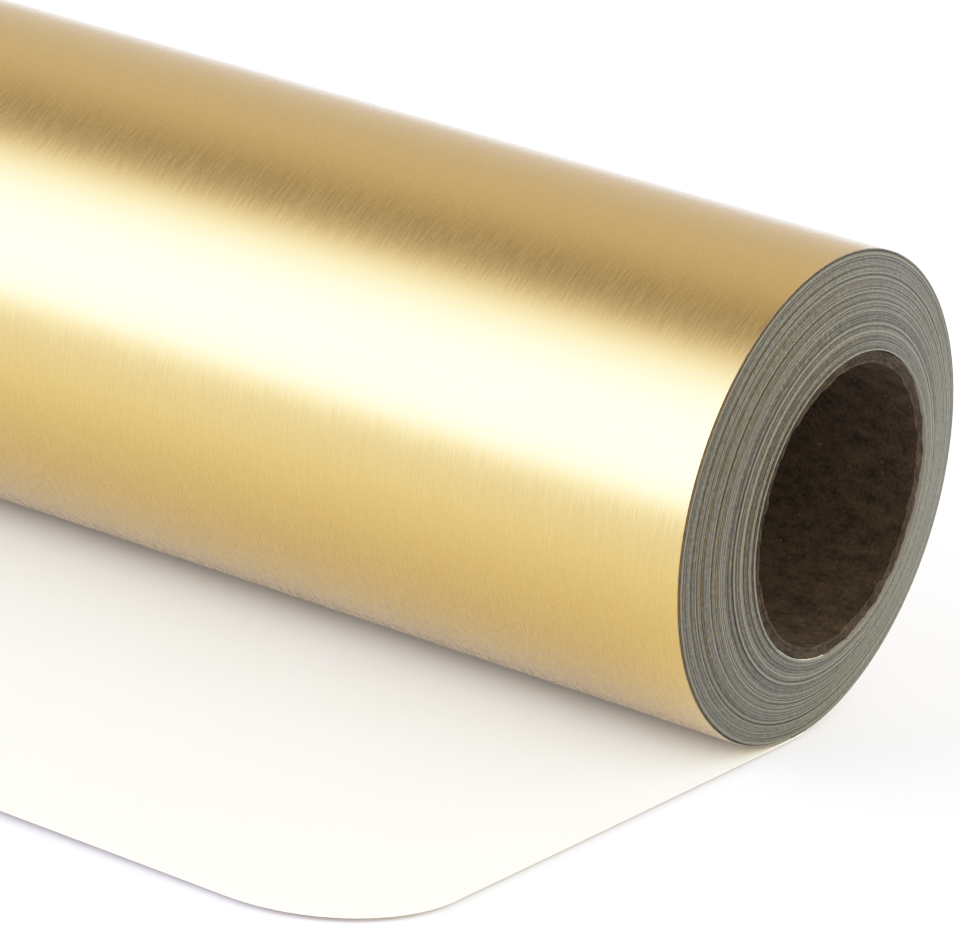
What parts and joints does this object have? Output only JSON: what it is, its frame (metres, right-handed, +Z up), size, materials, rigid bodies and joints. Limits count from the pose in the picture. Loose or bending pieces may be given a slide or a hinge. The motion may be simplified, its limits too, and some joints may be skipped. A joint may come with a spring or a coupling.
{
  "type": "roll of sign vinyl",
  "caption": "Roll of gold-faced self-adhesive vinyl on a paperboard core, its free end laid out liner side up; the roll turns as it backs away and pays out web.",
  "frame": {"origin": "on the floor, under the middle of the whole object's bounding box", "axes": "+X along the roll's axis, towards the end whose inner turns stand out; -Y the way the free end runs; +Z up"},
  "size_m": [0.617, 0.262, 0.1357],
  "materials": {
    "brushed_gold_film": "satin",
    "release_liner": "satin",
    "core_board": "matte",
    "tape": "satin"
  },
  "bodies": {
    "laid_sheet": {"laid_film": "brushed_gold_film", "laid_liner": "release_liner"},
    "lead_off": {"lead_off_film": "brushed_gold_film", "lead_off_liner": "release_liner"},
    "roll": {"core_inner_ply": "core_board", "core_body_ply_1": "core_board", "core_body_ply_2": "core_board", "core_outer_ply": "core_board", "start_tape": "tape", "wound_film": "brushed_gold_film", "wound_liner": "release_liner", "outer_turn_film": "brushed_gold_film", "outer_turn_liner": "release_liner"}
  },
  "joints": [
    {"name": "pay_out", "type": "slide", "parent": "laid_sheet", "child": "lead_off", "axis": [0, 1, 0], "range_m": [0, 0.12]},
    {"name": "roll_turn", "type": "hinge", "parent": "lead_off", "child": "roll", "pos_m": [0, 0.064, 0.0687], "axis": [1, 0, 0], "range_deg": [-103, 0]}
  ],
  "couplings": [
    {"joint": "roll_turn", "follows": "pay_out", "rad_per_m": -14.925}
  ]
}
